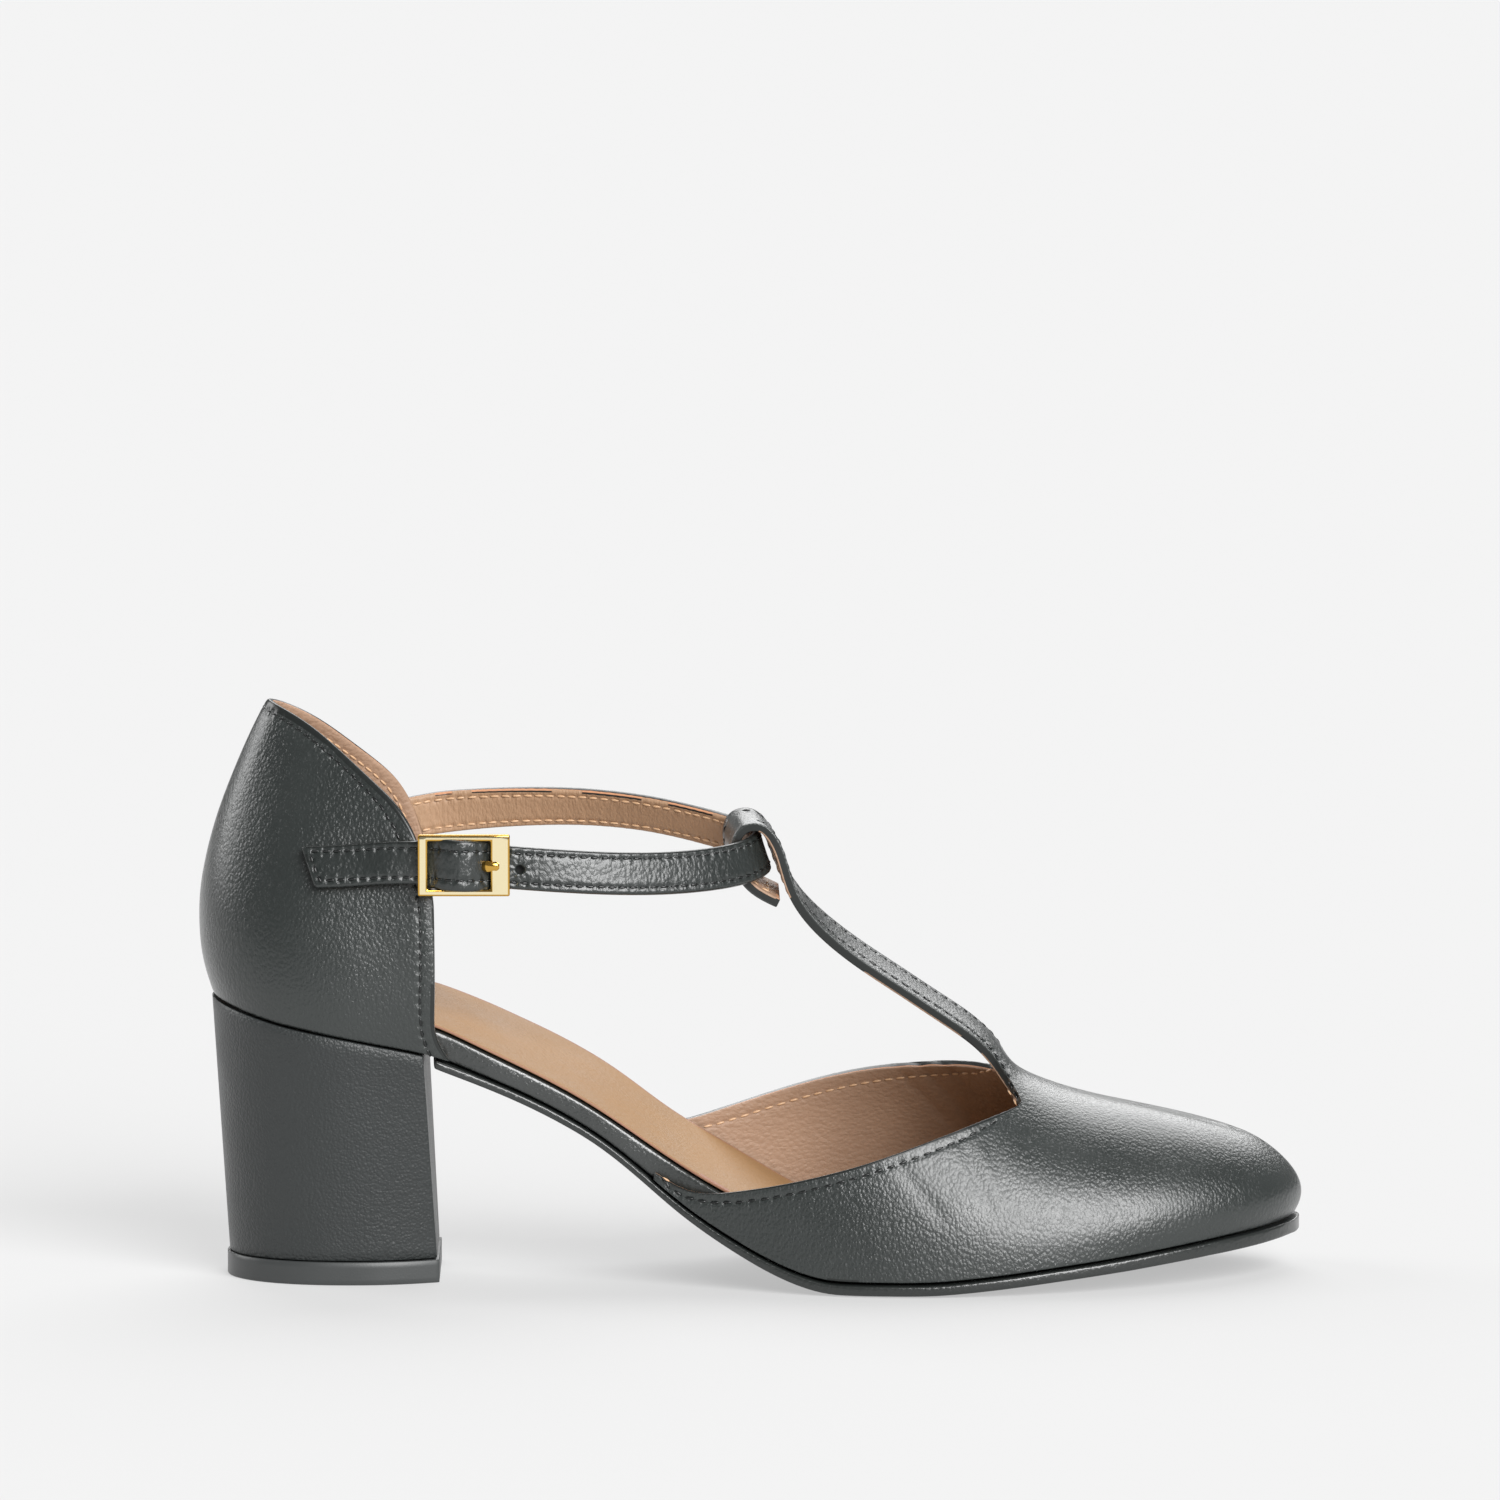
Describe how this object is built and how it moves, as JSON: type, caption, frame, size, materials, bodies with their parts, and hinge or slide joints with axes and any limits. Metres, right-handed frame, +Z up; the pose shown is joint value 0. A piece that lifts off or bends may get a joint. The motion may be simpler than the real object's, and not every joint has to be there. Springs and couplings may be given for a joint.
{
  "type": "t strap block heel shoe",
  "caption": "Closed-toe leather T-strap shoe for the right foot, with open sides, a buckled ankle strap and a covered block heel.",
  "frame": {"origin": "on the floor, under the middle of the shoe's box", "axes": "+X towards the toe, +Y towards the inner side of the foot, +Z up"},
  "size_m": [0.2372, 0.0764, 0.1243],
  "materials": {
    "black_leather": "smooth nappa, soft sheen, fine grain",
    "heel_cover": "satin leather cover with a pebbled grain",
    "tan_leather": "matt lining leather",
    "sole_edge": "burnished black edge over a tan underside",
    "black_rubber": "smooth moulded rubber",
    "brass": "polished gold-coloured plating"
  },
  "bodies": {
    "root": {"outsole": "sole_edge", "insole_board": "black_leather", "sock_lining": "tan_leather", "heel": "heel_cover", "top_piece": "black_rubber", "vamp": "black_leather", "counter": "black_leather", "ankle_strap": "black_leather", "buckle": "brass", "prong": "brass", "buckle_tab": "black_leather"}
  },
  "joints": []
}
